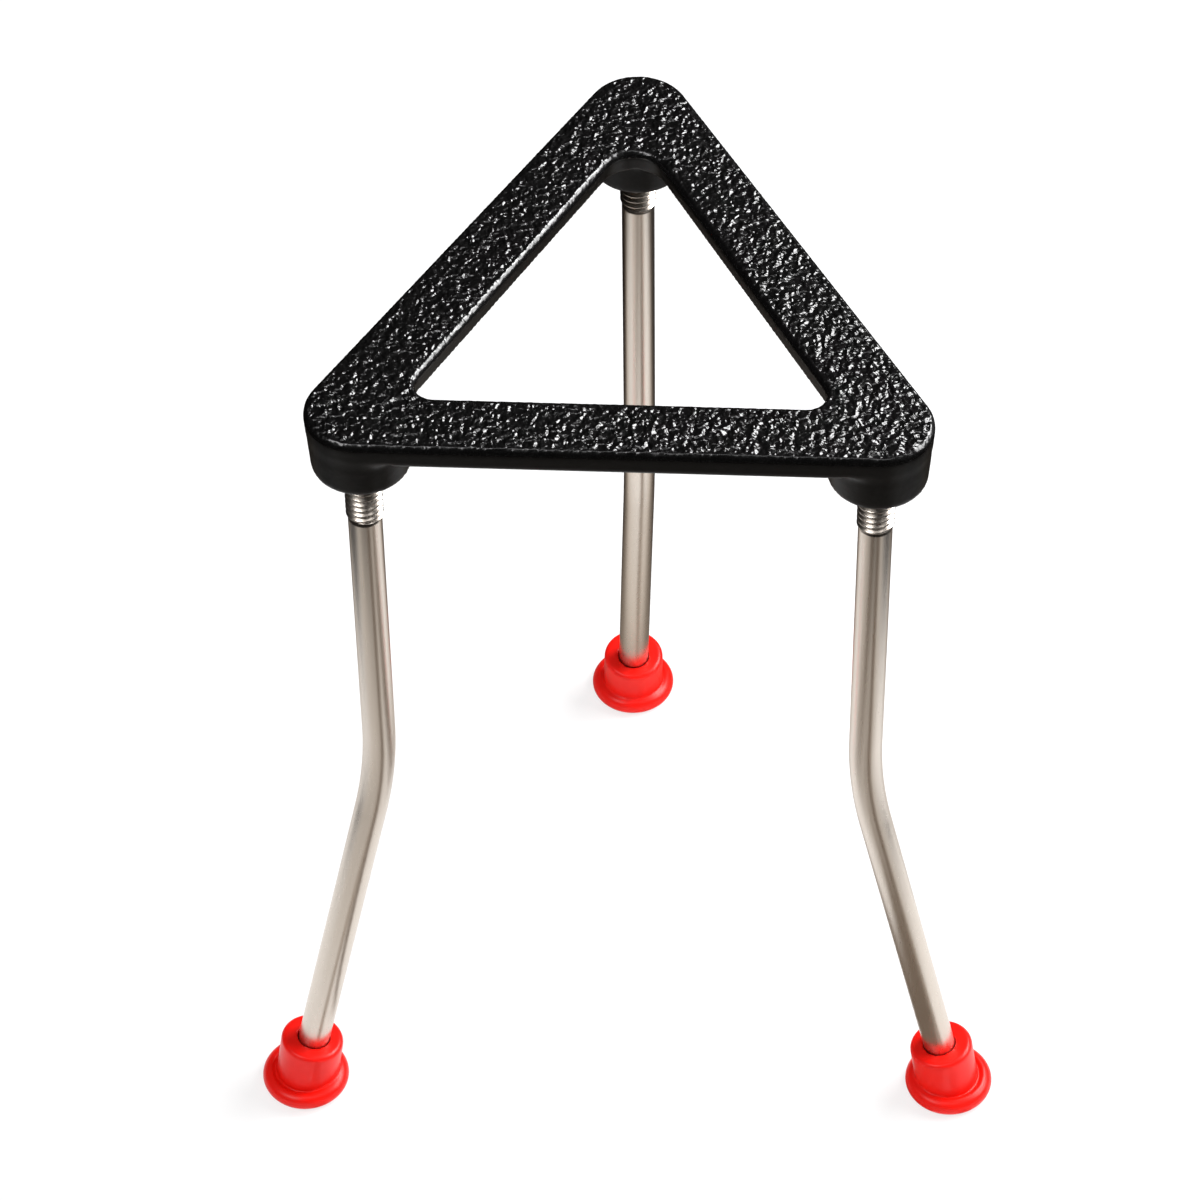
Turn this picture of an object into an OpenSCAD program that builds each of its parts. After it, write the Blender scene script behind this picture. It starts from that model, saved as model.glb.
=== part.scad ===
// Lab tripod stand: a cast iron triangle on three screwed-in rod legs, each in a moulded foot.
// Millimetres, +Z up. The origin lies on the floor, at the middle of the ground that the feet span.

/* [Frame] */
// Distance between neighbouring leg holes
leg_spacing = 103; // [85:0.1:150]
// Height of the frame's top above the floor
stand_h = 209; // [180:1:260]
// Radius of the outer corners, and reach of a bar outwards from the line between two leg holes
corner_r = 11; // [10:0.1:13]
// Reach of a bar inwards, from the line between two leg holes to the opening
bar_in = 3.5; // [2.8:0.1:6]
// Thickness of the bars
bar_t = 6.3; // [5:0.1:9]
// Draft of the outer walls and bosses in degrees, which narrows the casting downwards
draft = 3.5; // [0.5:0.1:5]
// Draft of the opening's walls in degrees, which widens the opening downwards
opening_draft = 9; // [0.5:0.1:10]
// Rounding of the bars' top edges
top_round = 2; // [1:0.1:2.8]
// Radius of the opening's rear corner
opening_r_rear = 6.5; // [4:0.1:9]
// Radius of the opening's two front corners
opening_r_front = 4; // [3:0.1:9]
// How much farther the side bars reach inwards at the front corners than at the rear one
bar_taper = 1.7; // [0:0.1:2.5]

/* [Bosses] */
// Drop of each boss below the bars
boss_drop = 9.5; // [8:0.1:14]
// Rounding of a boss's lower rim
boss_round = 1.2; // [0.4:0.1:2]
// Hollow rounding where a boss meets the bars
boss_fillet = 1.1; // [0.5:0.1:2]
// Depth of the blind threaded hole up into a boss
hole_depth = 12; // [9:0.1:13]

/* [Legs] */
// Diameter of a leg's rod
rod_d = 7; // [6:0.1:7.6]
// Outer diameter of the thread rolled on a leg's upper end
thread_d = 7.7; // [7.7:0.1:9]
// Gap between the thread and its hole, all round
thread_gap = 0.05; // [0.02:0.01:0.1]
// Length of thread left in sight below the rear boss, as far as that leg is screwed in
rear_show = 11; // [6:0.1:20]
// Length of thread left in sight below the left boss
left_show = 15; // [6:0.1:20]
// Length of thread left in sight below the right boss
right_show = 13.6; // [6:0.1:20]
// Length of the taper from the thread down to the bare rod
thread_runout = 0.8; // [0.4:0.1:2]
// Height above the floor at which a leg starts to bend outwards
bend_z = 112; // [90:1:140]
// Radius of the bend, at the middle of the rod
bend_r = 111; // [60:1:160]
// Angle through which a leg is bent
bend_angle = 13.2; // [6:0.1:18]
// Turn of the rear leg about its thread, away from pointing straight out
rear_turn = 7.5; // [-25:0.5:25]
// Turn of the left leg about its thread
left_turn = -5; // [-25:0.5:25]
// Turn of the right leg about its thread
right_turn = 16.5; // [-25:0.5:25]

/* [Feet] */
// Diameter of a foot's flange
flange_d = 19.5; // [18:0.1:24]
// Height of the flange's round rim
flange_t = 4.4; // [3:0.1:5]
// Depth of the shallow hollow between the rim and the body
flange_hollow = 0.5; // [0.2:0.1:0.8]
// Diameter of a foot's body
foot_d = 14; // [12:0.1:15]
// Length of the body along its own axis, from the floor
foot_h = 14.7; // [12:0.1:18]
// Rounding of the body's upper edge
foot_round = 1.1; // [0.4:0.1:2]
// Lean of the body towards the leg, in degrees
foot_lean = 9; // [0:0.5:12]
// Height of the middle of the socket's floor, on which the rod ends
socket_z = 3.2; // [2.6:0.1:5]
// Gap between the rod and its socket, all round
socket_gap = 0.15; // [0.05:0.01:0.3]
// Chamfer at the socket's mouth
mouth_chamfer = 0.3; // [0.1:0.1:0.6]

/* [Hidden] */
$fn = 96;

REAR = 0;
LEFT = 1;
RIGHT = 2;
azimuth = [90, 210, 330];
turn = [rear_turn, left_turn, right_turn];
thread_show = [rear_show, left_show, right_show];

// Steps of the mesh round a corner and up a top edge
CORNER_STEPS = 24;
ROUND_STEPS = 6;
// How far a boss starts inside the walls that it hangs from
BOSS_INSET = 0.05;
// What bending adds to the rod's radius, and how far the straight lengths run on into the bend
BEND_SWELL = 0.02;
BEND_OVERLAP = 0.5;

function polar(r, a) = r * [cos(a), sin(a)];

// The leg holes lie on a circle. The opening's corners are rounded about points further in.
hole_circle = leg_spacing / sqrt(3);
opening_r = [opening_r_rear, opening_r_front, opening_r_front];
inwards = [0, bar_taper, -bar_taper];

// Where the bend ends, and how far a foot stands out from its leg hole
bend_out = bend_r * (1 - cos(bend_angle));
bend_low = bend_z - bend_r * sin(bend_angle);
lower_len = (bend_low - socket_z) / cos(bend_angle);
foot_out = bend_out + lower_len * sin(bend_angle);

// The middle of the ground that the feet span, as seen from the triangle's own middle
function foot_from_middle(k) =
    polar(hole_circle, azimuth[k]) + polar(foot_out, azimuth[k] + turn[k]);
feet_x = [for (k = [REAR:RIGHT]) foot_from_middle(k)[0]];
feet_y = [for (k = [REAR:RIGHT]) foot_from_middle(k)[1]];
middle = [min(feet_x) + max(feet_x), min(feet_y) + max(feet_y)] / 2;

function hole_at(k) = polar(hole_circle, azimuth[k]) - middle;
function opening_corner_at(k) =
    polar(hole_circle - 2 * (bar_in + opening_r[k]), azimuth[k]) + [inwards[k], 0] - middle;
function foot_at(k) = foot_from_middle(k) - middle;

// How far a wall that leans by lean degrees has gone in at its foot
function foot_in(lean) =
    top_round * (1 - cos(lean)) + (bar_t - top_round * (1 + sin(lean))) * tan(lean);

// A cast edge from the wall's foot up to the level top: how far in from the wall, and how far down
function cast_edge(lean) =
    concat([[foot_in(lean), -bar_t]],
           [for (i = [0:ROUND_STEPS])
               let (a = -lean + (90 + lean) * i / ROUND_STEPS)
                   top_round * [1 - cos(a), sin(a) - 1]]);
outer_edge = cast_edge(draft);
inner_edge = cast_edge(opening_draft);

boss_z = stand_h - bar_t - boss_drop;
boss_top_r = corner_r - foot_in(draft) - BOSS_INSET;
boss_r = boss_top_r - boss_drop * tan(draft);

function edge_point(centre, a, r, drop) =
    let (p = centre + polar(r, a)) [p[0], p[1], stand_h + drop];

// The bars' section, cut across at corner k in direction a: up the outer wall and down the inner
function section(k, a) =
    concat([for (e = outer_edge) edge_point(hole_at(k), a, corner_r - e[0], e[1])],
           [for (i = [len(inner_edge) - 1:-1:0])
               let (e = inner_edge[i])
                   edge_point(opening_corner_at(k), a, opening_r[k] + e[0], e[1])]);

// The three bars and their corners: the section carried round the opening, corner by corner
module bars() {
    sections = [for (k = [REAR:RIGHT])
                   for (i = [0:CORNER_STEPS])
                       section(k, azimuth[k] - 60 + 120 * i / CORNER_STEPS)];
    n = len(sections);
    m = len(sections[0]);
    polyhedron(points = [for (s = sections) each s],
               faces = [for (i = [0:n - 1])
                           for (j = [0:m - 1])
                               let (next = (i + 1) % n, up = (j + 1) % m)
                                   [i * m + j, i * m + up, next * m + up, next * m + j]]);
}

// What a rounding of radius r takes off a convex corner at tip, between a level face and a wall
// that leans by lean degrees. c is the middle of the rounding.
module off_corner(c, tip, r, lean) {
    difference() {
        polygon([c, [c[0], tip[1]], tip, c + r * [cos(lean), -sin(lean)]]);
        translate(c)
            circle(r = r);
    }
}

// A boss's half section below the bars, with its lower rim rounded
module boss_section() {
    c = [boss_r + boss_round * (tan(draft) - 1 / cos(draft)), boss_round - boss_drop];
    tip = [boss_r, -boss_drop];
    difference() {
        polygon([[0, 0], [boss_top_r, 0], tip, [0, -boss_drop]]);
        off_corner(c, tip, boss_round, draft);
    }
}

// The hollow rounding between a boss and the underside, as a half section
module fillet_section() {
    c = [boss_top_r - boss_fillet * tan(draft) + boss_fillet / cos(draft), -boss_fillet];
    wall = c - boss_fillet * [cos(draft), -sin(draft)];
    difference() {
        polygon([[boss_r / 2, 0], [c[0], 0], c, wall, [boss_r / 2, wall[1]]]);
        translate(c)
            circle(r = boss_fillet);
    }
}

// The ground under the two bars that meet at a corner, out to their walls' lower edges
module under_bars() {
    intersection_for (side = [-60, 60])
        rotate([0, 0, side])
            translate([-leg_spacing, -leg_spacing])
                square([leg_spacing + boss_top_r, 2 * leg_spacing]);
}

// The boss hangs below z = 0, and its rounding stays within the bars
module boss() {
    rotate_extrude()
        boss_section();
    intersection() {
        rotate([0, 0, 60])
            rotate_extrude(angle = 240)
                fillet_section();
        translate([0, 0, -boss_drop])
            linear_extrude(height = boss_drop)
                under_bars();
    }
}

module at(p, z) {
    translate([p[0], p[1], z])
        children();
}

// One casting: three bars, rounded corners, and a boss with a blind threaded hole under each corner
module frame() {
    color([0.09, 0.09, 0.09])
        difference() {
            union() {
                bars();
                for (k = [REAR:RIGHT])
                    at(hole_at(k), stand_h - bar_t)
                        rotate([0, 0, azimuth[k]])
                            boss();
            }
            for (k = [REAR:RIGHT])
                at(hole_at(k), boss_z - 1)
                    cylinder(d = thread_d + 2 * thread_gap, h = hole_depth + 1);
        }
}

// One leg, hanging from the floor of its hole and bending towards +X
module leg(k) {
    thread_low = boss_z - thread_show[k];
    color([0.78, 0.76, 0.73])
        at(hole_at(k), 0)
            rotate([0, 0, azimuth[k] + turn[k]]) {
                translate([0, 0, thread_low])
                    cylinder(d = thread_d, h = thread_show[k] + hole_depth);
                translate([0, 0, thread_low - thread_runout])
                    cylinder(d1 = rod_d, d2 = thread_d, h = thread_runout);
                translate([0, 0, bend_z - BEND_OVERLAP])
                    cylinder(d = rod_d, h = thread_low - thread_runout - bend_z + BEND_OVERLAP);
                translate([bend_r, 0, bend_z])
                    rotate([90, 0, 0])
                        rotate([0, 0, 180])
                            rotate_extrude(angle = bend_angle)
                                translate([bend_r, 0])
                                    circle(d = rod_d + 2 * BEND_SWELL);
                translate([foot_out, 0, socket_z])
                    rotate([0, -bend_angle, 0])
                        cylinder(d = rod_d, h = lower_len + BEND_OVERLAP);
            }
}

// A foot's flange: flat below, with a fat round rim and a shallow hollow inside it
module flange() {
    rim_r = flange_t / 2;
    rim_x = flange_d / 2 - rim_r;
    inner = foot_d / 2;
    rotate_extrude() {
        polygon([[0, 0], [rim_x, 0], [rim_x, flange_t], [inner, flange_t - flange_hollow],
                 [0, flange_t - flange_hollow]]);
        translate([rim_x, rim_r])
            circle(r = rim_r);
    }
}

// The body that grips the rod, with its upper edge rounded
module foot_body() {
    start = flange_t / 2;
    rotate_extrude() {
        c = [foot_d / 2 - foot_round, foot_h - foot_round];
        polygon([[0, start], [foot_d / 2, start], [foot_d / 2, c[1]], c, [c[0], foot_h], [0, foot_h]]);
        translate(c)
            circle(r = foot_round);
    }
}

// The socket follows the rod, and its mouth is cut where the rod leaves the body
module socket() {
    r = rod_d / 2 + socket_gap;
    mouth = (foot_h * cos(foot_lean) - socket_z) / cos(bend_angle);
    translate([0, 0, socket_z])
        rotate([0, -bend_angle, 0]) {
            cylinder(r = r, h = mouth + foot_h);
            translate([0, 0, mouth - mouth_chamfer])
                cylinder(r1 = r, r2 = r + 4 * mouth_chamfer, h = 4 * mouth_chamfer);
        }
}

// One foot, level on the floor, with its body leaning back towards the leg's bend
module foot(k) {
    color([0.85, 0.05, 0.04])
        at(foot_at(k), 0)
            rotate([0, 0, azimuth[k] + turn[k]])
                difference() {
                    union() {
                        flange();
                        rotate([0, -foot_lean, 0])
                            foot_body();
                    }
                    socket();
                }
}

frame();
leg(REAR);  // leg_rear
leg(LEFT);  // leg_left
leg(RIGHT);  // leg_right
foot(REAR);  // foot_rear
foot(LEFT);  // foot_left
foot(RIGHT);  // foot_right
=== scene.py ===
# %% [markdown]
# # A lab tripod stand, with its real finishes
#
# The stand is a cast iron triangle on three bent steel legs, and each leg stands in a red foot.
# The CAD model gives every place and size. This script loads it as a fixed frame, and then
# models each piece again with the detail that a camera sees: wrinkled enamel, rolled threads
# and soft moulded edges. All lengths are metres, as in the CAD, and MM turns millimetres
# into them.

# %% Load the CAD model
from math import atan2, cos, degrees, pi, radians, sin, tan

import bpy
from mathutils import Matrix, Vector


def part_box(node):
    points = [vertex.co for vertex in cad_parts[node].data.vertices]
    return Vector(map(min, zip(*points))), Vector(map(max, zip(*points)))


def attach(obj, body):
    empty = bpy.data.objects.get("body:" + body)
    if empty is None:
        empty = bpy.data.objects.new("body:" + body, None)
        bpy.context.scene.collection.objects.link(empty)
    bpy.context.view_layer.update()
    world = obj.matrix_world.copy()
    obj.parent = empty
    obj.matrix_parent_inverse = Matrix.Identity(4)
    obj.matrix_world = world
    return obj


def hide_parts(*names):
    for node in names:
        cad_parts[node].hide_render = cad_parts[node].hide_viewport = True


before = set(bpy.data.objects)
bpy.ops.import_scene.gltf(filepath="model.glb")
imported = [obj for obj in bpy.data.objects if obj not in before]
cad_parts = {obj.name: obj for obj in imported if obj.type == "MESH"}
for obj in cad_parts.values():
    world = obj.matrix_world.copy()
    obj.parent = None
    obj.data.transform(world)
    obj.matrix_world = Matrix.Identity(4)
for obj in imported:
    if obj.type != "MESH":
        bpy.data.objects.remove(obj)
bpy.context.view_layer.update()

MM = 0.001
# Heights this close together count as one level, and vertices this close are merged
LEVEL = 0.01 * MM
WELD = 0.001 * MM

print("CAD nodes:", ", ".join(sorted(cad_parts)))

# %% [markdown]
# ## Places
#
# The pieces could be placed by eye, but then they would drift from the CAD model. So every place
# is measured. The casting's box gives its level top and the three leg holes, because a hole lies
# one corner radius in from the outline. A foot's box gives the middle of the foot, and the line
# from hole to foot gives the way in which the leg bends.

# %% Read the places from the CAD model
CORNER_R = 11 * MM
BAR_T = 6.3 * MM
SIDES = ("rear", "left", "right")

low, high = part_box("frame")
top_z = high.z
under_z = top_z - BAR_T
boss_z = low.z
middle_x = (low.x + high.x) / 2
holes = {
    "rear": Vector((middle_x, high.y - CORNER_R, 0)),
    "left": Vector((low.x + CORNER_R, low.y + CORNER_R, 0)),
    "right": Vector((high.x - CORNER_R, low.y + CORNER_R, 0)),
}
triangle_centre = sum(holes.values(), Vector()) / 3
hole_circle = (holes["rear"] - triangle_centre).length

feet, leg_turn = {}, {}
for side in SIDES:
    foot_low, foot_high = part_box("foot_" + side)
    feet[side] = Vector(((foot_low.x + foot_high.x) / 2, (foot_low.y + foot_high.y) / 2, 0))
    out = feet[side] - holes[side]
    leg_turn[side] = atan2(out.y, out.x)
    print(side, "hole", holes[side], "leg points to", round(degrees(leg_turn[side]), 1), "degrees")

# %% [markdown]
# ## Helpers
#
# Most tools in Blender act on what is selected. So each step first makes one piece the only
# selected one, and then picks faces or edges in code, by where they are.

# %% Select, shape and finish
def alone(piece):
    """Makes this piece the only one that is selected."""
    bpy.ops.object.select_all(action="DESELECT")
    piece.select_set(True)
    bpy.context.view_layer.objects.active = piece
    return piece


def pick(piece, kind, wanted):
    """Goes into edit mode with the faces, edges or vertices selected for which wanted is true."""
    alone(piece)
    bpy.ops.object.mode_set(mode="EDIT")
    bpy.ops.mesh.select_mode(type=kind)
    bpy.ops.mesh.select_all(action="DESELECT")
    bpy.ops.object.mode_set(mode="OBJECT")
    mesh = piece.data
    elements = {"FACE": mesh.polygons, "EDGE": mesh.edges, "VERT": mesh.vertices}[kind]
    for element in elements:
        element.select = wanted(element)
    bpy.ops.object.mode_set(mode="EDIT")


def done():
    """Leaves edit mode, which also writes the changes to the mesh."""
    bpy.ops.object.mode_set(mode="OBJECT")


def apply_modifier(piece, kind, **settings):
    """Adds a modifier, sets it and applies it to the mesh."""
    alone(piece)
    modifier = piece.modifiers.new(kind.title(), kind)
    for name, value in settings.items():
        setattr(modifier, name, value)
    bpy.ops.object.modifier_apply(modifier=modifier.name)


def combine(piece, other, operation):
    """Adds the other piece to this one, or takes it away, and then deletes the other."""
    apply_modifier(piece, "BOOLEAN", object=other, operation=operation, solver="EXACT")
    bpy.data.objects.remove(other, do_unlink=True)


def settle(piece, name):
    """Names a piece and moves its place into its mesh, so that its object is at the origin."""
    alone(piece)
    bpy.ops.object.transform_apply(location=True, rotation=True, scale=True)
    piece.name = piece.data.name = name
    return piece


def report(piece):
    """Prints a piece's size and its number of triangles."""
    size = [round(s / MM, 1) for s in piece.dimensions]
    triangles = sum(len(face.vertices) - 2 for face in piece.data.polygons)
    print(piece.name, "measures", size, "mm and has", triangles, "triangles")


# %% [markdown]
# ## The casting
#
# The real triangle is cast iron from a sand mould. Its walls lean a little, so that the
# pattern could be drawn from the sand, its upper edges are rounded, and a boss hangs under
# each corner to take a leg. The outline could be drawn and extruded, but then the lean would
# need work at every corner. Three short cones wrapped in one skin give the leaning outline and
# its round corners at once. A second set of cones, narrower at the top, cuts the opening.

# %% Wrap cones in a skin
DRAFT = radians(3.5)
OPENING_DRAFT = radians(9)
TOP_ROUND = 2 * MM
BAR_IN = 3.5 * MM
BAR_TAPER = 1.7 * MM
OPENING_R = {"rear": 6.5 * MM, "left": 4 * MM, "right": 4 * MM}
INWARDS = {"rear": 0, "left": BAR_TAPER, "right": -BAR_TAPER}
EXTRA = 1 * MM


def skin_over_cones(name, corners, low_z, high_z):
    """A cone for each corner, given as place, lower and upper radius, in one convex skin."""
    bpy.ops.object.select_all(action="DESELECT")
    cones = []
    for place, low_r, high_r in corners:
        bpy.ops.mesh.primitive_cone_add(vertices=96, radius1=low_r, radius2=high_r,
                                        depth=high_z - low_z,
                                        location=(place.x, place.y, (low_z + high_z) / 2))
        cones.append(bpy.context.object)
    for cone in cones:
        cone.select_set(True)
    bpy.ops.object.join()
    bpy.ops.object.mode_set(mode="EDIT")
    bpy.ops.mesh.select_all(action="SELECT")
    bpy.ops.mesh.convex_hull()
    bpy.ops.mesh.select_all(action="SELECT")
    bpy.ops.mesh.dissolve_limited(angle_limit=radians(0.5))
    done()
    return settle(bpy.context.object, name)


def edge_width(draft):
    """How far a rounded edge reaches in from the sharp edge of a wall with this draft."""
    return TOP_ROUND / tan(radians(45) - draft / 2)


# The walls are drawn up to a sharp edge, which a bevel rounds afterwards
outer_r = CORNER_R + edge_width(DRAFT) - TOP_ROUND
lean = BAR_T * tan(DRAFT)
casting = skin_over_cones("casting", [(holes[side], outer_r - lean, outer_r) for side in SIDES],
                          under_z, top_z)

opening_in = edge_width(OPENING_DRAFT) - TOP_ROUND
corners = []
for side in SIDES:
    way = (holes[side] - triangle_centre).normalized()
    place = triangle_centre + way * (hole_circle - 2 * (BAR_IN + OPENING_R[side]))
    sharp_r = OPENING_R[side] - opening_in
    corners.append((place + Vector((INWARDS[side], 0, 0)),
                    sharp_r + (BAR_T + EXTRA) * tan(OPENING_DRAFT),
                    sharp_r - EXTRA * tan(OPENING_DRAFT)))
combine(casting, skin_over_cones("opening", corners, under_z - EXTRA, top_z + EXTRA),
        "DIFFERENCE")
report(casting)


# %% Round the upper edges
def reach(point):
    """How far a point lies out from the triangle's centre, square to the nearest bar."""
    return max((triangle_centre - point).dot((holes[side] - triangle_centre).normalized())
               for side in SIDES)


def top_edge(edge, outer):
    """Whether an edge is on the level top's outer outline, or on that of its opening."""
    ends = [casting.data.vertices[i].co for i in edge.vertices]
    if min(end.z for end in ends) < top_z - LEVEL:
        return False
    return all((reach(end) > hole_circle / 2) == outer for end in ends)


for outer, draft in ((True, DRAFT), (False, OPENING_DRAFT)):
    pick(casting, "FACE", lambda face: face.normal.z > 0.99)
    bpy.ops.mesh.dissolve_faces()
    done()
    pick(casting, "EDGE", lambda edge: top_edge(edge, outer))
    bpy.ops.mesh.bevel(offset=edge_width(draft), offset_type="OFFSET", segments=6, profile=0.5,
                       clamp_overlap=False)
    done()
pick(casting, "FACE", lambda face: True)
bpy.ops.mesh.quads_convert_to_tris(ngon_method="BEAUTY")
done()
report(casting)

# %% [markdown]
# ## Bosses
#
# A boss is a short drum that is a little narrower at its lower end, with a rounded rim. It
# could be extruded from the underside, but a cone of its own is easier to size and to bevel.
# It starts inside the bars, so that the union has real material to join. The cast corner
# between a boss and the bars is softened later, when the mesh is fine enough to be smoothed.

# %% Hang a boss under each corner
BOSS_ROUND = 1.2 * MM
# How far a boss reaches up into the bars, and how far its wall stands in from theirs
BOSS_ROOT = 2 * MM
BOSS_SET_IN = 0.05 * MM
boss_top_r = outer_r - lean - BOSS_SET_IN

for side in SIDES:
    start = under_z + BOSS_ROOT
    bpy.ops.mesh.primitive_cone_add(vertices=96,
                                    radius1=boss_top_r - (under_z - boss_z) * tan(DRAFT),
                                    radius2=boss_top_r + (start - under_z) * tan(DRAFT),
                                    depth=start - boss_z,
                                    location=holes[side] + Vector((0, 0, (start + boss_z) / 2)))
    boss = settle(bpy.context.object, "boss")
    pick(boss, "EDGE", lambda e: all(boss.data.vertices[i].co.z < boss_z + LEVEL
                                     for i in e.vertices))
    bpy.ops.mesh.bevel(offset=BOSS_ROUND, segments=5, profile=0.5)
    done()
    combine(casting, boss, "UNION")
report(casting)

# %% [markdown]
# ## Wrinkled enamel, as real relief
#
# The paint dries into fine wrinkles, one to two millimetres apart, and their slopes are what
# glitters. Bump shading alone would leave the outline and the meshes smooth, so the wrinkles
# are made twice: as relief in a fine mesh here, and steeper still in the material. A voxel
# remesh turns the casting into small even squares, the level top gets a second subdivision,
# and Displace modifiers push the skin inwards only, so the casting stays within its size.

# %% Make a fine, even mesh
VOXEL = 0.66 * MM
# A little more than the rounded upper edge, so that this depth reaches all of it
EDGE_DEPTH = 2.2 * MM
apply_modifier(casting, "REMESH", mode="VOXEL", voxel_size=VOXEL)
report(casting)


# %% Soften the cast corner between a boss and the bars
SOFT_REACH, SOFT_UP = 2.2 * MM, 0.5 * MM


def near_boss_corner(vertex):
    if not under_z - SOFT_REACH < vertex.co.z < under_z + SOFT_UP:
        return False
    flat = Vector((vertex.co.x, vertex.co.y, 0))
    return any(abs((flat - holes[s]).length - boss_top_r) < SOFT_REACH for s in SIDES)


pick(casting, "VERT", near_boss_corner)
bpy.ops.mesh.vertices_smooth(factor=0.5, repeat=10)
done()
print("vertices softened:", sum(vertex.select for vertex in casting.data.vertices))

# %% Subdivide the top and the rounded edges
pick(casting, "FACE", lambda f: f.center.z > top_z - EDGE_DEPTH and f.normal.z > 0.02)
bpy.ops.mesh.subdivide(number_cuts=1)
done()
report(casting)

# %% Say where the paint wrinkles
EDGE_CALM, WALL_CALM = 0.68, 0.25


def wrinkling(depth):
    """Full on the level top, less on the rounded edge, and little on walls and bosses."""
    edge = min(1, max(0, (depth - 0.08 * MM) / (0.32 * MM)))
    wall = min(1, max(0, (depth - 0.4 * MM) / (1.1 * MM)))
    return 1 - EDGE_CALM * edge - WALL_CALM * wall


amounts = [wrinkling(top_z - vertex.co.z) for vertex in casting.data.vertices]
wrinkle_group = casting.vertex_groups.new(name="wrinkles")
for index, amount in enumerate(amounts):
    wrinkle_group.add([index], amount, "REPLACE")
# The attribute comes last and is filled at once, because a new vertex group moves the data
casting.data.attributes.new("wrinkling", "FLOAT", "POINT").data.foreach_set("value", amounts)
print("wrinkling runs from", round(min(amounts), 2), "to", round(max(amounts), 2))

# %% Press the wrinkles in
swells = bpy.data.textures.new("swells", "CLOUDS")
swells.noise_scale = 2.2 * MM
swells.noise_depth = 1
wrinkles = bpy.data.textures.new("wrinkles", "STUCCI")
wrinkles.noise_scale = 0.8 * MM
wrinkles.turbulence = 8
apply_modifier(casting, "DISPLACE", texture=swells, vertex_group="wrinkles", mid_level=1,
               strength=0.12 * MM)
apply_modifier(casting, "DISPLACE", texture=wrinkles, vertex_group="wrinkles", mid_level=1.4,
               strength=0.35 * MM)
bpy.ops.object.shade_smooth()
report(casting)

# %% [markdown]
# ## Threaded holes
#
# On the real casting these are tapped. Nothing of the hole's own thread shows once a leg is
# in, so a plain round hole, a hair wider than the leg's thread, does as well. The holes are cut
# last, so that neither the voxels nor the wrinkles spoil them.

# %% Drill the holes
THREAD_R = 3.85 * MM
HOLE_R = THREAD_R + 0.05 * MM
HOLE_DEPTH = 12 * MM
for side in SIDES:
    bpy.ops.mesh.primitive_cylinder_add(vertices=64, radius=HOLE_R, depth=2 * HOLE_DEPTH,
                                        location=holes[side] + Vector((0, 0, boss_z)))
    combine(casting, settle(bpy.context.object, "drill"), "DIFFERENCE")
settle(casting, "frame_casting")
report(casting)

# %% [markdown]
# ## The legs' thread
#
# The thread is rolled on the rod, which presses grooves in and raises ridges beside them, so
# it stands a little proud of the bare rod. A bump could draw it, but its outline would stay
# straight. So one tooth is drawn as a chain of edges, and the Screw modifier winds it up. The
# winding has stepped ends, so it is made too long and cut level with Bisect.

# %% Draw a chain of edges
def draw(points):
    """One vertex at the first point, and one extrusion to each next point."""
    bpy.ops.object.select_all(action="DESELECT")
    points = [Vector(p) for p in points]
    bpy.ops.mesh.primitive_plane_add(size=MM, location=points[0])
    bpy.ops.object.mode_set(mode="EDIT")
    bpy.ops.mesh.select_mode(type="VERT")
    bpy.ops.mesh.merge(type="CENTER")
    for here, there in zip(points, points[1:]):
        bpy.ops.mesh.extrude_vertices_move(TRANSFORM_OT_translate={"value": there - here})
    done()
    return settle(bpy.context.object, "line")


# %% Wind one tooth into a thread
PITCH = 1.5 * MM
ROOT_R = 3.1 * MM
# Each leg is screwed in by eye, so each shows another length of thread
THREAD_SHOW = {"rear": 11 * MM, "left": 15 * MM, "right": 13.6 * MM}
THREAD_STEPS = 60
# One tooth, as shares of the pitch along the rod and of the thread's depth
TOOTH = [(0.00, 0.00), (0.10, 0.00), (0.36, 0.80), (0.42, 0.96), (0.48, 1.00), (0.54, 1.00),
         (0.60, 0.96), (0.66, 0.80), (0.92, 0.00), (1.00, 0.00)]


def wind_thread(low_z, high_z):
    """A closed piece of thread between two heights, round the upright axis."""
    turns = int((high_z - low_z) / PITCH) + 3
    thread = draw([(ROOT_R + up * (THREAD_R - ROOT_R), 0, low_z + (along - 1) * PITCH)
                   for along, up in TOOTH])
    apply_modifier(thread, "SCREW", axis="Z", angle=2 * pi, screw_offset=PITCH,
                   iterations=turns, steps=THREAD_STEPS, render_steps=THREAD_STEPS,
                   use_merge_vertices=True, merge_threshold=WELD)
    thread = settle(thread, "thread")
    bpy.ops.object.mode_set(mode="EDIT")
    bpy.ops.mesh.select_all(action="SELECT")
    bpy.ops.mesh.remove_doubles(threshold=WELD)
    for height, up in ((low_z, False), (high_z, True)):
        bpy.ops.mesh.select_all(action="SELECT")
        bpy.ops.mesh.bisect(plane_co=(0, 0, height), plane_no=(0, 0, 1), use_fill=True,
                            clear_inner=not up, clear_outer=up, threshold=WELD)
    bpy.ops.mesh.select_all(action="SELECT")
    bpy.ops.mesh.normals_make_consistent(inside=False)
    done()
    return thread


# %% [markdown]
# ## The rod
#
# A leg is a steel rod, bent once on a former. It could be a curve with a round section, but
# mesh tools follow the real making: a ring is extruded down to the bend in several lengths,
# spun about the former's centre, and extruded again down to the foot. The lengths matter:
# smooth shading blends from ring to ring, and one long length would carry the taper's slope
# far down the straight rod, and bend its reflections.

# %% Bend a rod
ROD_R = 3.5 * MM
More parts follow.
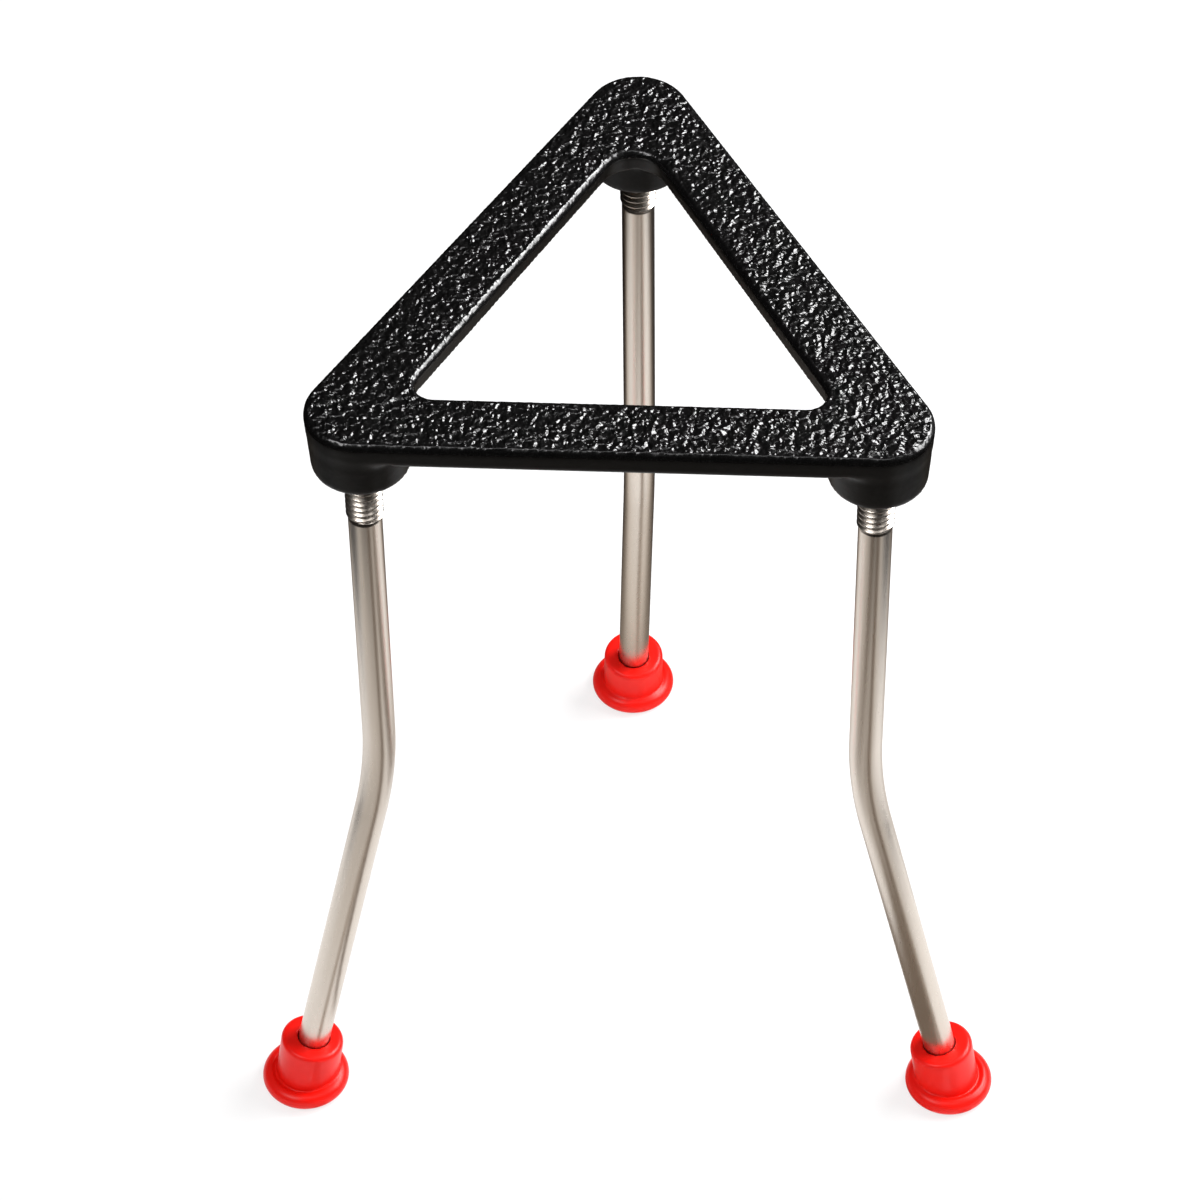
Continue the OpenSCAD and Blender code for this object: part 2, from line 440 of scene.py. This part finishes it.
# The thread runs out over a short taper, then comes a short length of full size. The rod
# starts a little inside the thread, and a little thinner, so that the union is a clean one.
RUNOUT = 1.2 * MM
COLLAR = 0.3 * MM
INSIDE = 0.6 * MM
CORE_R = ROOT_R - 0.15 * MM
BEND_Z = 112 * MM
BEND_R = 111 * MM
BEND_ANGLE = radians(13.2)
SOCKET_Z = 3.2 * MM
STRAIGHT_STEPS = 6

bend_low = BEND_Z - BEND_R * sin(BEND_ANGLE)
lower_len = (bend_low - SOCKET_Z) / cos(BEND_ANGLE)
print("straight lower part:", round(lower_len / MM, 1), "mm")


def lengthen(x, z):
    """Extrudes the selected ring by this much."""
    bpy.ops.mesh.extrude_region_move(TRANSFORM_OT_translate={"value": (x, 0, z)})


def bend_rod(thread_low):
    """A rod from just inside its thread, down and outwards to the foot."""
    rod_top = thread_low + INSIDE
    bpy.ops.object.select_all(action="DESELECT")
    bpy.ops.mesh.primitive_circle_add(vertices=72, radius=CORE_R, location=(0, 0, rod_top))
    rod = bpy.context.object
    bpy.ops.object.mode_set(mode="EDIT")
    # An earlier step may have left face mode on, in which a bare ring can't be extruded
    bpy.ops.mesh.select_mode(type="VERT")
    bpy.ops.mesh.select_all(action="SELECT")
    lengthen(0, -RUNOUT)
    bpy.ops.transform.resize(value=(ROD_R / CORE_R, ROD_R / CORE_R, 1),
                             center_override=(0, 0, rod_top - RUNOUT))
    lengthen(0, -COLLAR)
    straight = rod_top - RUNOUT - COLLAR - BEND_Z
    for _ in range(STRAIGHT_STEPS):
        lengthen(0, -straight / STRAIGHT_STEPS)
    bpy.ops.mesh.spin(steps=24, angle=BEND_ANGLE, center=(BEND_R, 0, BEND_Z), axis=(0, 1, 0))
    for _ in range(STRAIGHT_STEPS):
        lengthen(lower_len * sin(BEND_ANGLE) / STRAIGHT_STEPS,
                 -lower_len * cos(BEND_ANGLE) / STRAIGHT_STEPS)
    bpy.ops.mesh.select_all(action="SELECT")
    bpy.ops.mesh.fill_holes(sides=0)
    bpy.ops.mesh.select_all(action="SELECT")
    bpy.ops.mesh.normals_make_consistent(inside=False)
    done()
    return settle(rod, "rod")


# %% Set the legs in their holes
def stand(piece, name, place, angle):
    """Turns a piece about the upright axis, and sets it down at a place."""
    piece.rotation_euler = (0, 0, angle)
    piece.location = place
    return settle(piece, name)


legs = []
for side in SIDES:
    thread_low = boss_z - THREAD_SHOW[side]
    leg = bend_rod(thread_low)
    combine(leg, wind_thread(thread_low, boss_z + HOLE_DEPTH), "UNION")
    alone(leg)
    bpy.ops.object.shade_smooth_by_angle(angle=radians(40))
    legs.append(stand(leg, "leg_rod_" + side, holes[side], leg_turn[side]))
    report(legs[-1])

# %% [markdown]
# ## The feet
#
# A foot is moulded in soft plastic: a flange with a fat round rim, and a body that grips the
# rod and leans with it. The two lean differently, so one turned profile can't give both. The
# flange is turned from its profile with Spin, and the body is a cylinder with a bevelled upper
# edge. A fine voxel remesh and a little smoothing then melt them together, as a mould does.

# %% Turn a profile about the upright axis
def turn(points):
    """Spins a profile once round and closes it."""
    piece = draw(points)
    bpy.ops.object.mode_set(mode="EDIT")
    bpy.ops.mesh.select_all(action="SELECT")
    bpy.ops.mesh.spin(steps=96, angle=2 * pi, center=(0, 0, 0), axis=(0, 0, 1))
    bpy.ops.mesh.select_all(action="SELECT")
    bpy.ops.mesh.remove_doubles(threshold=WELD)
    bpy.ops.mesh.normals_make_consistent(inside=False)
    done()
    return settle(piece, "turned")


# %% Mould a foot
FLANGE_R = 9.75 * MM
FLANGE_T = 4.4 * MM
HOLLOW = 0.5 * MM
BODY_R = 7 * MM
BODY_H = 14.7 * MM
BODY_ROUND = 1.1 * MM
BODY_LEAN = radians(9)
SOCKET_R = ROD_R + 0.15 * MM

rim_r = FLANGE_T / 2
rim_x = FLANGE_R - rim_r
profile = [(0, 0), (rim_x, 0)]
profile += [(rim_x + rim_r * sin(radians(a)), rim_r - rim_r * cos(radians(a)))
            for a in range(10, 185, 10)]
profile += [(BODY_R, FLANGE_T - HOLLOW), (0, FLANGE_T - HOLLOW)]
foot = turn([(x, 0, z) for x, z in profile])

bpy.ops.object.select_all(action="DESELECT")
start = FLANGE_T / 2
bpy.ops.mesh.primitive_cylinder_add(vertices=96, radius=BODY_R, depth=BODY_H - start,
                                    location=(0, 0, (BODY_H + start) / 2))
body = settle(bpy.context.object, "body")
pick(body, "EDGE", lambda e: all(body.data.vertices[i].co.z > BODY_H - LEVEL
                                 for i in e.vertices))
bpy.ops.mesh.bevel(offset=BODY_ROUND, segments=6, profile=0.5)
done()
body.rotation_euler = (0, -BODY_LEAN, 0)
combine(foot, settle(body, "body"), "UNION")

bpy.ops.mesh.primitive_cylinder_add(vertices=96, radius=SOCKET_R, depth=2 * BODY_H,
                                    location=(0, 0, BODY_H))
socket = settle(bpy.context.object, "socket")
socket.rotation_euler = (0, -BEND_ANGLE, 0)
socket.location = (0, 0, SOCKET_Z)
combine(foot, settle(socket, "socket"), "DIFFERENCE")
report(foot)

# %% Melt the foot's edges together
FOOT_VOXEL = 0.26 * MM
apply_modifier(foot, "REMESH", mode="VOXEL", voxel_size=FOOT_VOXEL)
apply_modifier(foot, "SMOOTH", factor=0.5, iterations=3)
bpy.ops.object.shade_smooth()
report(foot)

# %% Copy the foot to each leg
boots = []
for side in SIDES:
    alone(foot)
    bpy.ops.object.duplicate(linked=False)
    boots.append(stand(bpy.context.object, "boot_" + side, feet[side], leg_turn[side]))
    report(boots[-1])
bpy.data.objects.remove(foot, do_unlink=True)

# %% [markdown]
# ## Materials
#
# Each finish starts from what it is and how its surface was made. One function turns the
# usual colour codes into the linear numbers that a shader needs, and one adds a node.

# %% Colours and nodes
def colour(code):
    """'#c0ffee' as linear red, green and blue, with an alpha of 1."""
    parts = [int(code[i:i + 2], 16) / 255 for i in (1, 3, 5)]
    return [p / 12.92 if p <= 0.04045 else ((p + 0.055) / 1.055) ** 2.4 for p in parts] + [1]


def add_node(tree, kind, sockets=(), **settings):
    """Adds a node. sockets gives its inputs: each is a value, or the output of another node."""
    new = tree.nodes.new(kind)
    for name, value in settings.items():
        setattr(new, name, value)
    for name, value in dict(sockets).items():
        if isinstance(value, bpy.types.NodeSocket):
            tree.links.new(value, new.inputs[name])
        else:
            new.inputs[name].default_value = value
    return new


def new_material(name):
    """An empty material and its node tree."""
    material = bpy.data.materials.new(name)
    material.use_nodes = True
    material.node_tree.nodes.clear()
    print("material:", name)
    return material, material.node_tree


# %% [markdown]
# ## Wrinkle enamel on cast iron
#
# Black wrinkle enamel, sprayed on and baked. Its skin is glossy, and its folds, about 1.6 mm
# apart, break the light up into short bright grains. On edges and walls it flows out smooth.
# The mesh's relief gives the true outline, but its squares are too coarse for the steep sides
# of the folds, so a bump adds those. Its strength follows the casting's own "wrinkling"
# attribute, so relief and bump agree.

# %% Wrinkle enamel
enamel, tree = new_material("black_wrinkle_enamel")
place = add_node(tree, "ShaderNodeTexCoord").outputs["Object"]
wrinkling_here = add_node(tree, "ShaderNodeAttribute", attribute_name="wrinkling").outputs["Fac"]
patches = add_node(tree, "ShaderNodeTexNoise", {"Vector": place, "Scale": 90, "Detail": 1})
patchy = add_node(tree, "ShaderNodeMapRange", {"Value": patches.outputs["Fac"], "From Min": 0.3,
                                               "From Max": 0.7, "To Min": 0.7, "To Max": 1.0})
strength = add_node(tree, "ShaderNodeMath", {0: patchy.outputs[0], 1: wrinkling_here},
                    operation="MULTIPLY")
folds = add_node(tree, "ShaderNodeTexNoise", {"Vector": place, "Scale": 600, "Detail": 1,
                                              "Roughness": 0.5, "Distortion": 0.3})
bump = add_node(tree, "ShaderNodeBump", {"Height": folds.outputs["Fac"],
                                         "Strength": strength.outputs[0],
                                         "Distance": 1.7 * MM})
cloud = add_node(tree, "ShaderNodeTexNoise", {"Vector": place, "Scale": 420, "Detail": 2})
tone = add_node(tree, "ShaderNodeMix", {0: cloud.outputs["Fac"], 6: colour("#060606"),
                                        7: colour("#0d0c0c")}, data_type="RGBA")
rough = add_node(tree, "ShaderNodeMapRange", {"Value": cloud.outputs["Fac"], "To Min": 0.20,
                                              "To Max": 0.29})
shader = add_node(tree, "ShaderNodeBsdfPrincipled",
                  {"Base Color": tone.outputs[2], "Roughness": rough.outputs[0], "IOR": 1.6,
                   "Normal": bump.outputs[0]})
add_node(tree, "ShaderNodeOutputMaterial", {"Surface": shader.outputs[0]})

# %% [markdown]
# ## The same enamel on walls and bosses
#
# Walls and bosses get a copy of the enamel without folds and duller, with a low specular level.
# It keeps them darker than the top: painted shade, not a coat of their own. One shader could mix
# both, but an export drops a specular level that comes from a node, so the shaded copy is a
# material of its own, with its level set on the socket.

# %% Shaded copy of the enamel
shaded_enamel, tree = new_material("shaded_black_enamel")
place = add_node(tree, "ShaderNodeTexCoord").outputs["Object"]
cloud = add_node(tree, "ShaderNodeTexNoise", {"Vector": place, "Scale": 420, "Detail": 2})
bump = add_node(tree, "ShaderNodeBump", {"Height": cloud.outputs["Fac"], "Strength": 0.4,
                                         "Distance": 0.1 * MM})
tone = add_node(tree, "ShaderNodeMix", {0: cloud.outputs["Fac"], 6: colour("#0a0908"),
                                        7: colour("#100e0c")}, data_type="RGBA")
# The low specular level keeps walls and bosses dark: painted shade
shader = add_node(tree, "ShaderNodeBsdfPrincipled",
                  {"Base Color": tone.outputs[2], "Roughness": 0.36, "IOR": 1.5,
                   "Specular IOR Level": 0.11, "Normal": bump.outputs[0]})
add_node(tree, "ShaderNodeOutputMaterial", {"Surface": shader.outputs[0]})

# %% [markdown]
# ## Satin nickel on steel
#
# Nickel plate on a drawn steel rod: a warm, light grey metal with a satin gloss, because the
# fine lines of drawing run along the rod. Anisotropic gloss could do this too, but noise that
# is drawn out along the rod also gives the faint lines themselves. Real ones are a few
# hundredths of a millimetre apart, so these are drawn coarser, about 0.4 mm, to show at all.

# %% Satin nickel plate
nickel, tree = new_material("satin_nickel_plate")
place = add_node(tree, "ShaderNodeTexCoord").outputs["Object"]
along = add_node(tree, "ShaderNodeMapping", {"Vector": place, "Scale": (1, 1, 0.02)})
lines = add_node(tree, "ShaderNodeTexNoise", {"Vector": along.outputs[0], "Scale": 2600,
                                              "Detail": 2})
bump = add_node(tree, "ShaderNodeBump", {"Height": lines.outputs["Fac"], "Strength": 0.2,
                                         "Distance": 0.01 * MM})
rough = add_node(tree, "ShaderNodeMapRange", {"Value": lines.outputs["Fac"], "To Min": 0.24,
                                              "To Max": 0.34})
shader = add_node(tree, "ShaderNodeBsdfPrincipled",
                  {"Base Color": colour("#dad0c5"), "Metallic": 1.0,
                   "Roughness": rough.outputs[0], "Normal": bump.outputs[0]})
add_node(tree, "ShaderNodeOutputMaterial", {"Surface": shader.outputs[0]})

# %% [markdown]
# ## Moulded red plastic
#
# Soft PVC, moulded: a strong red all the way through, with a soft gloss and a hardly visible
# unevenness, some 4 mm across, where it cooled. It could be a plain red, but the slight change
# of tone and slope is what tells soft plastic from paint.

# %% Moulded PVC
plastic, tree = new_material("moulded_red_pvc")
place = add_node(tree, "ShaderNodeTexCoord").outputs["Object"]
uneven = add_node(tree, "ShaderNodeTexNoise", {"Vector": place, "Scale": 260, "Detail": 2})
bump = add_node(tree, "ShaderNodeBump", {"Height": uneven.outputs["Fac"], "Strength": 0.35,
                                         "Distance": 0.12 * MM})
tone = add_node(tree, "ShaderNodeMix", {0: uneven.outputs["Fac"], 6: colour("#dc0f08"),
                                        7: colour("#e8170d")}, data_type="RGBA")
shader = add_node(tree, "ShaderNodeBsdfPrincipled",
                  {"Base Color": tone.outputs[2], "Roughness": 0.32, "IOR": 1.5,
                   "Specular IOR Level": 0.2, "Normal": bump.outputs[0]})
add_node(tree, "ShaderNodeOutputMaterial", {"Surface": shader.outputs[0]})


# %% [markdown]
# ## Dressing the pieces
#
# A new piece stands for the CAD node of the same part, which is then hidden. It moves with the
# same body and takes its finish from the same slot. The hidden node gets the finish too.

# %% Put each finish on its pieces
def dress(piece, material, node):
    """Gives a piece and its CAD node the finish, hangs the piece on the root body, and hides the
    node.
    """
    piece.data.materials.clear()
    piece.data.materials.append(material)
    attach(piece, "root")
    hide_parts(node)
    cad_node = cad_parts[node]
    cad_node.data.materials.clear()
    cad_node.data.materials.append(material)
    print(piece.name, "stands for", node, "in", material.name)


dress(casting, enamel, "frame")
for side, leg, boot in zip(SIDES, legs, boots):
    dress(leg, nickel, "leg_" + side)
    dress(boot, plastic, "foot_" + side)

# %% Give walls and bosses the shaded copy of the enamel, as painted shade
casting.data.materials.append(shaded_enamel)
for face in casting.data.polygons:
    face.material_index = int(face.center.z < top_z - EDGE_DEPTH)
print("faces in thin enamel:", sum(face.material_index for face in casting.data.polygons))

# %% [markdown]
# ## The studio
#
# The stand is shown on a white table that runs on without an edge. Strong lamps could make the
# table white, but they would wash out the black and the red. So to the camera and in
# reflections the table glows by itself, and a share of plain white paint keeps the soft shadow.

# %% Floor
def shown_rays(tree):
    """1 for camera, glossy and transmission rays, and 0 for the rays that only bring light."""
    path = add_node(tree, "ShaderNodeLightPath")
    seen = path.outputs["Is Camera Ray"]
    for name in ("Is Glossy Ray", "Is Transmission Ray"):
        seen = add_node(tree, "ShaderNodeMath", {0: seen, 1: path.outputs[name]},
                        operation="MAXIMUM").outputs[0]
    return seen


bpy.ops.object.select_all(action="DESELECT")
bpy.ops.mesh.primitive_circle_add(vertices=128, radius=12, fill_type="NGON",
                                  location=(0, 0, -0.05 * MM))
floor = bpy.context.object
floor.name = "floor"
paper, tree = new_material("white_table")
glow_share = add_node(tree, "ShaderNodeMath", {0: shown_rays(tree), 1: 0.72},
                      operation="MULTIPLY")
matt = add_node(tree, "ShaderNodeBsdfDiffuse", {"Color": colour("#f4f4f4")})
glow = add_node(tree, "ShaderNodeEmission", {"Color": colour("#ffffff"), "Strength": 1.0})
both = add_node(tree, "ShaderNodeMixShader", {0: glow_share.outputs[0], 1: matt.outputs[0],
                                              2: glow.outputs[0]})
add_node(tree, "ShaderNodeOutputMaterial", {"Surface": both.outputs[0]})
floor.data.materials.append(paper)
print("floor:", round(floor.dimensions.x), "m across")

# %% World
world = bpy.data.worlds.new("room")
bpy.context.scene.world = world
world.use_nodes = True
world.node_tree.nodes.clear()
tree = world.node_tree
dim = add_node(tree, "ShaderNodeBackground", {"Color": colour("#ffffff"), "Strength": 0.28})
white = add_node(tree, "ShaderNodeBackground", {"Color": colour("#ffffff"), "Strength": 1.0})
mixed = add_node(tree, "ShaderNodeMixShader", {0: shown_rays(tree), 1: dim.outputs[0],
                                               2: white.outputs[0]})
add_node(tree, "ShaderNodeOutputWorld", {"Surface": mixed.outputs[0]})
print("the world lights with", round(dim.inputs["Strength"].default_value, 2), "and shows as white")


# %% [markdown]
# ## Painted reflections round the set and on the table
#
# A glossy black thing turns grey when all round it is white, and a metal rod loses its dark
# lines. Darker materials would hide this from one side only, so it is mended with painted
# reflections: glowing sheets round the set and on the table, dark or toned, which only glossy
# rays see, so they cast no shadow. They stand where a studio would hang black cloth and lay
# toned cards. A band of bare white table stays between the sheets, level with the front legs,
# and puts bright lines on both sides of the rods.

# %% Things that only reflections see
def reflected_only(piece, name, shader_colour):
    """Gives a piece of the studio a glowing tone that only glossy rays see."""
    settle(piece, name)
    material, tree = new_material(name)
    tone = shader_colour(tree)
    glow = add_node(tree, "ShaderNodeEmission", {"Color": tone, "Strength": 1.0})
    add_node(tree, "ShaderNodeOutputMaterial", {"Surface": glow.outputs[0]})
    piece.data.materials.clear()
    piece.data.materials.append(material)
    for ray in ("camera", "diffuse", "transmission", "volume_scatter", "shadow"):
        setattr(piece, "visible_" + ray, False)
    print(name, "shows in reflections only")


# %% Painted dark reflection round the set
SURROUND_HALF, SURROUND_HIGH = 2.6, 3.0
bpy.ops.object.select_all(action="DESELECT")
bpy.ops.mesh.primitive_cube_add(size=1, location=(0, 0, SURROUND_HIGH / 2),
                                scale=(2 * SURROUND_HALF, 2 * SURROUND_HALF, SURROUND_HIGH))
surround = bpy.context.object
pick(surround, "FACE", lambda face: face.normal.z < -0.9)
bpy.ops.mesh.delete(type="FACE")
done()
# A painted reflection: a dark glow round the set, where a studio hangs black cloth, seen only by
# glossy rays
reflected_only(surround, "painted_dark_surround", lambda tree: colour("#0a0a0b"))

# %% Painted dark reflection on the table round its middle
SHEET_X, SHEET_FRONT, SHEET_BACK = 0.19, -0.245, 0.15


def flat_sheet(x0, x1, y0, y1, z):
    """A flat sheet just above the table, between these places, for a painted reflection."""
    bpy.ops.object.select_all(action="DESELECT")
    bpy.ops.mesh.primitive_plane_add(size=1, location=((x0 + x1) / 2, (y0 + y1) / 2, z))
    piece = bpy.context.object
    piece.scale = (x1 - x0, y1 - y0, 1)
    return piece


# Painted dark reflections: dark glowing sheets on the table round its middle, seen only by glossy
# rays
for name, bounds in (("left", (-SURROUND_HALF, -SHEET_X, -SURROUND_HALF, SURROUND_HALF)),
                     ("right", (SHEET_X, SURROUND_HALF, -SURROUND_HALF, SURROUND_HALF)),
                     ("front", (-SHEET_X, SHEET_X, -SURROUND_HALF, SHEET_FRONT)),
                     ("back", (-SHEET_X, SHEET_X, SHEET_BACK, SURROUND_HALF))):
    reflected_only(flat_sheet(*bounds, 0.4 * MM), "painted_dark_reflection_" + name,
                   lambda tree: colour("#100d0b"))


# %% Painted toned reflections before and behind the legs
def toned(stops):
    """A tone that runs along y through the given places and colours."""
    first, last = stops[0][0], stops[-1][0]

    def build(tree):
        place = add_node(tree, "ShaderNodeTexCoord").outputs["Object"]
        along = add_node(tree, "ShaderNodeSeparateXYZ", {"Vector": place}).outputs["Y"]
        share = add_node(tree, "ShaderNodeMapRange", {"Value": along, "From Min": first,
                                                      "From Max": last})
        ramp = add_node(tree, "ShaderNodeValToRGB", {"Fac": share.outputs[0]})
        points = ramp.color_ramp.elements
        points[0].position, points[0].color = 0, colour(stops[0][1])
        points[1].position, points[1].color = 1, colour(stops[-1][1])
        for y, code in stops[1:-1]:
            points.new((y - first) / (last - first)).color = colour(code)
        return ramp.outputs["Color"]
    return build


BAND_FRONT, BAND_BACK = -0.09, 0.0
# Painted reflections: glowing sheets, white at the band and darker outwards, seen only by glossy rays
reflected_only(flat_sheet(-SHEET_X, SHEET_X, SHEET_FRONT, BAND_FRONT, 0.8 * MM), "painted_reflection_front",
               toned([(SHEET_FRONT, "#100d0b"), (-0.222, "#1a1613"), (-0.205, "#cfcac4"),
                      (-0.13, "#e6e2dd"), (BAND_FRONT, "#ffffff")]))
reflected_only(flat_sheet(-SHEET_X, SHEET_X, BAND_BACK, SHEET_BACK, 0.8 * MM), "painted_reflection_back",
               toned([(BAND_BACK, "#ffffff"), (0.04, "#e9e2da"), (0.06, "#8f857a"), (0.10, "#3a322b"),
                      (SHEET_BACK, "#181310")]))

# %% A wedge of painted dark reflection in front of each leg
# Each wedge is a painted reflection: it gives the rod a soft dark line just right of its
# middle. The long ones start under the upright parts of the legs, and the short ones at the
# feet, for the slanting parts.
WEDGE_SIDES = (radians(14), radians(34))


def dark_reflection_wedge(name, point, length, code):
    """A pointed painted dark reflection on the table, a little to the right of straight ahead."""
    point = point + Vector((0, 0, 1.2 * MM))
    wedge = draw([point] + [point + length * Vector((sin(a), -cos(a), 0)) for a in WEDGE_SIDES])
    bpy.ops.object.mode_set(mode="EDIT")
    bpy.ops.mesh.select_all(action="SELECT")
    bpy.ops.mesh.edge_face_add()
    done()
    reflected_only(wedge, name, lambda tree: colour(code))


for side in SIDES:
    dark_reflection_wedge("long_dark_reflection_" + side, holes[side], 0.19, "#7f7266")
    dark_reflection_wedge("short_dark_reflection_" + side, feet[side], 0.085, "#b0a59a")


# %% [markdown]
# ## Lamps
#
# All four are soft boxes, because bare bulbs would draw hard points on the enamel. The one on
# the right and the one behind it rake over the top, so its grains grow denser towards the right
# corner. The one at the left front draws the soft line on the front edge, and the long one
# overhead fills the threads. Together they stay plain enough for a colour to render as written.

# %% Hang the soft boxes
AIM = Vector((0, 0, 0.15))


def lamp(name, place, size, power):
    """A soft box that shines at the stand's upper half."""
    light = bpy.data.lights.new(name, "AREA")
    light.shape = "RECTANGLE"
    light.size, light.size_y = size
    light.energy = power
    holder = bpy.data.objects.new(name, light)
    bpy.context.scene.collection.objects.link(holder)
    holder.location = place
    holder.rotation_euler = (AIM - Vector(place)).to_track_quat("-Z", "Y").to_euler()
    print(name, "of", size, "m gives", power, "W")


lamp("softbox_right", (0.60, 0.08, 0.52), (0.4, 0.4), 6)
lamp("softbox_back", (0.31, 0.22, 0.48), (0.22, 0.22), 3.4)
lamp("softbox_left", (-0.75, -0.80, 1.30), (0.7, 0.5), 9)
lamp("softbox_over", (-0.10, -0.60, 1.70), (1.8, 0.4), 6)

# %% [markdown]
# ## Camera
#
# The camera looks down on the stand from the front, through a long lens, so that the legs
# hardly run together. It could be aimed with a constraint, but three angles also hold its
# slight roll, and need nothing to follow.

# %% Camera
YAW, PITCH_DOWN, ROLL = radians(-3.326), radians(47.769), radians(-0.836)
camera_data = bpy.data.cameras.new("camera")
camera_data.sensor_width = 36
camera_data.lens = 151.65
camera_data.clip_start = 0.01
camera_data.clip_end = 100
camera = bpy.data.objects.new("camera", camera_data)
bpy.context.scene.collection.objects.link(camera)
ahead = Vector((sin(YAW) * cos(PITCH_DOWN), cos(YAW) * cos(PITCH_DOWN), -sin(PITCH_DOWN)))
right = Vector((cos(YAW), -sin(YAW), 0))
up = right.cross(ahead)
right, up = right * cos(ROLL) + up * sin(ROLL), up * cos(ROLL) - right * sin(ROLL)
camera.matrix_world = Matrix((right, up, -ahead)).transposed().to_4x4()
camera.location = (0.0355, -0.7467, 0.9216)
bpy.context.scene.camera = camera
bpy.context.scene.view_settings.view_transform = "Standard"
print("camera at", [round(c, 3) for c in camera.location], "with a lens of", camera_data.lens, "mm")
